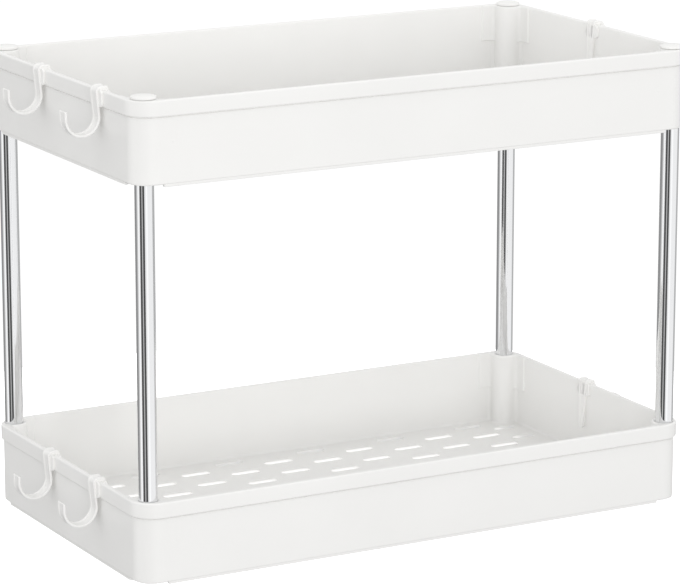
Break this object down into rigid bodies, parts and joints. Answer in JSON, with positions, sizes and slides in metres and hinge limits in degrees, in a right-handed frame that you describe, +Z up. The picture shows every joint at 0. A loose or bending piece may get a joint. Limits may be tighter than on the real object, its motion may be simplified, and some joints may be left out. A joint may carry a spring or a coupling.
{
  "type": "two-tier storage rack",
  "caption": "Freestanding two-tier kitchen storage rack with open slotted-floor trays on round steel posts, corner caps and lift-off side hooks.",
  "frame": {"origin": "on the surface that the rack stands on, under the middle of its length and depth", "axes": "+X along the long side, to the right as seen from the front; +Y to the back; +Z up"},
  "size_m": [0.4482, 0.225, 0.3068],
  "materials": {
    "tray_plastic": "satin moulded white",
    "hook_plastic": "satin moulded white",
    "cap_plastic": "satin moulded white",
    "plug_plastic": "moulded, unpolished",
    "post_steel": "bright plated",
    "screw_steel": "zinc plated",
    "foot_foam": "soft matte"
  },
  "bodies": {
    "rack": {"lower_tray": "tray_plastic", "upper_tray": "tray_plastic", "post_front_left": "post_steel", "post_front_right": "post_steel", "post_back_left": "post_steel", "post_back_right": "post_steel", "top_plug_front_left": "plug_plastic", "top_plug_front_right": "plug_plastic", "top_plug_back_left": "plug_plastic", "top_plug_back_right": "plug_plastic", "base_plug_front_left": "plug_plastic", "base_plug_front_right": "plug_plastic", "base_plug_back_left": "plug_plastic", "base_plug_back_right": "plug_plastic", "screw_front_left": "screw_steel", "screw_front_right": "screw_steel", "screw_back_left": "screw_steel", "screw_back_right": "screw_steel", "foot_front_left": "foot_foam", "foot_front_right": "foot_foam", "foot_back_left": "foot_foam", "foot_back_right": "foot_foam"},
    "cap_front_left_body": {"cap_front_left": "cap_plastic"},
    "cap_front_right_body": {"cap_front_right": "cap_plastic"},
    "cap_back_left_body": {"cap_back_left": "cap_plastic"},
    "cap_back_right_body": {"cap_back_right": "cap_plastic"},
    "hook_upper_left_front_body": {"hook_upper_left_front": "hook_plastic"},
    "hook_upper_left_back_body": {"hook_upper_left_back": "hook_plastic"},
    "hook_upper_right_body": {"hook_upper_right": "hook_plastic"},
    "hook_lower_left_front_body": {"hook_lower_left_front": "hook_plastic"},
    "hook_lower_left_back_body": {"hook_lower_left_back": "hook_plastic"},
    "hook_lower_right_body": {"hook_lower_right": "hook_plastic"}
  },
  "joints": [
    {"name": "cap_front_left_lift", "type": "slide", "parent": "rack", "child": "cap_front_left_body", "axis": [0, 0, 1], "range_m": [0, 0.022]},
    {"name": "cap_front_right_lift", "type": "slide", "parent": "rack", "child": "cap_front_right_body", "axis": [0, 0, 1], "range_m": [0, 0.022]},
    {"name": "cap_back_left_lift", "type": "slide", "parent": "rack", "child": "cap_back_left_body", "axis": [0, 0, 1], "range_m": [0, 0.022]},
    {"name": "cap_back_right_lift", "type": "slide", "parent": "rack", "child": "cap_back_right_body", "axis": [0, 0, 1], "range_m": [0, 0.022]},
    {"name": "hook_upper_left_front_lift", "type": "slide", "parent": "rack", "child": "hook_upper_left_front_body", "axis": [0, 0, 1], "range_m": [0, 0.045]},
    {"name": "hook_upper_left_back_lift", "type": "slide", "parent": "rack", "child": "hook_upper_left_back_body", "axis": [0, 0, 1], "range_m": [0, 0.045]},
    {"name": "hook_upper_right_lift", "type": "slide", "parent": "rack", "child": "hook_upper_right_body", "axis": [0, 0, 1], "range_m": [0, 0.045]},
    {"name": "hook_lower_left_front_lift", "type": "slide", "parent": "rack", "child": "hook_lower_left_front_body", "axis": [0, 0, 1], "range_m": [0, 0.045]},
    {"name": "hook_lower_left_back_lift", "type": "slide", "parent": "rack", "child": "hook_lower_left_back_body", "axis": [0, 0, 1], "range_m": [0, 0.045]},
    {"name": "hook_lower_right_lift", "type": "slide", "parent": "rack", "child": "hook_lower_right_body", "axis": [0, 0, 1], "range_m": [0, 0.045]}
  ]
}
